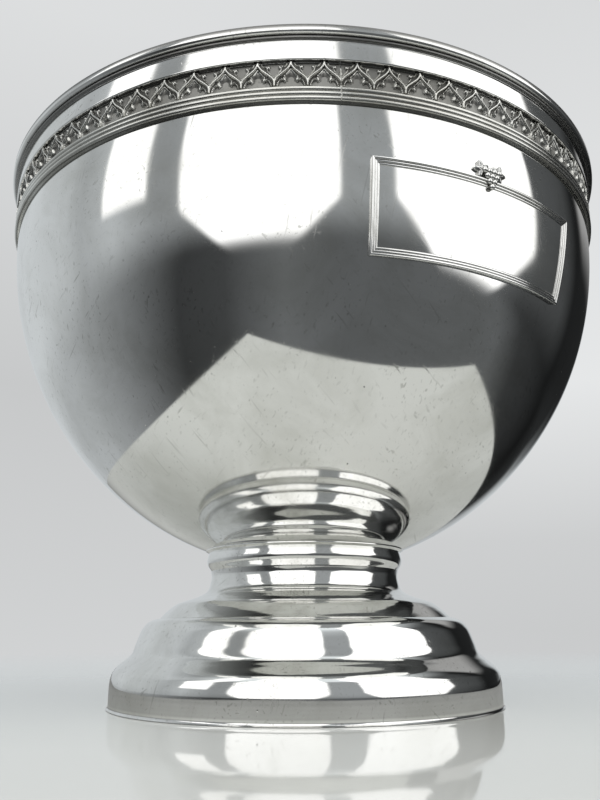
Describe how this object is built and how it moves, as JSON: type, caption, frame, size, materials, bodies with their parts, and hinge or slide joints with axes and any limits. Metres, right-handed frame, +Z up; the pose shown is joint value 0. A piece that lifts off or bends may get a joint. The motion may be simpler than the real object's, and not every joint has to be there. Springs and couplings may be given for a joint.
{
  "type": "pedestal champagne bucket",
  "caption": "Deep round pewter champagne bucket on a stepped pedestal foot, with an arcaded frieze under its rolled rim and a bare framed plaque on the front.",
  "frame": {"origin": "centre of the foot's bottom face, on the surface that the bucket stands on", "axes": "+Z up along the axis of the bowl; -Y is the front, where the plaque faces; +X to the right of someone who faces the plaque"},
  "size_m": [0.37, 0.37, 0.301],
  "materials": {
    "bowl_pewter": "spun pewter, polished, with fine scratches, small pits and a soft grey tarnish",
    "rim_pewter": "spun pewter, polished, worn bright along its edges",
    "frieze_pewter": "cast pewter, ribs bright, recesses dark with patina",
    "plaque_pewter": "cast pewter, field polished, frame satin",
    "solder": "tin solder, dull",
    "foot_pewter": "spun pewter, polished, with fine turning lines and scratches",
    "brass": "turned brass, dull",
    "zinc_steel": "steel, zinc plated"
  },
  "bodies": {
    "root": {"bowl": "bowl_pewter", "lip_band": "rim_pewter", "rim_roll": "rim_pewter", "frieze_strip_1": "frieze_pewter", "frieze_strip_2": "frieze_pewter", "frieze_strip_3": "frieze_pewter", "frieze_strip_4": "frieze_pewter", "seam_solder": "solder", "plaque": "plaque_pewter", "plaque_ornament": "plaque_pewter", "stem": "foot_pewter", "foot": "foot_pewter", "stud_boss": "brass", "centre_stud": "zinc_steel", "clamp_plate": "zinc_steel", "washer": "zinc_steel", "nut": "zinc_steel"}
  },
  "joints": []
}
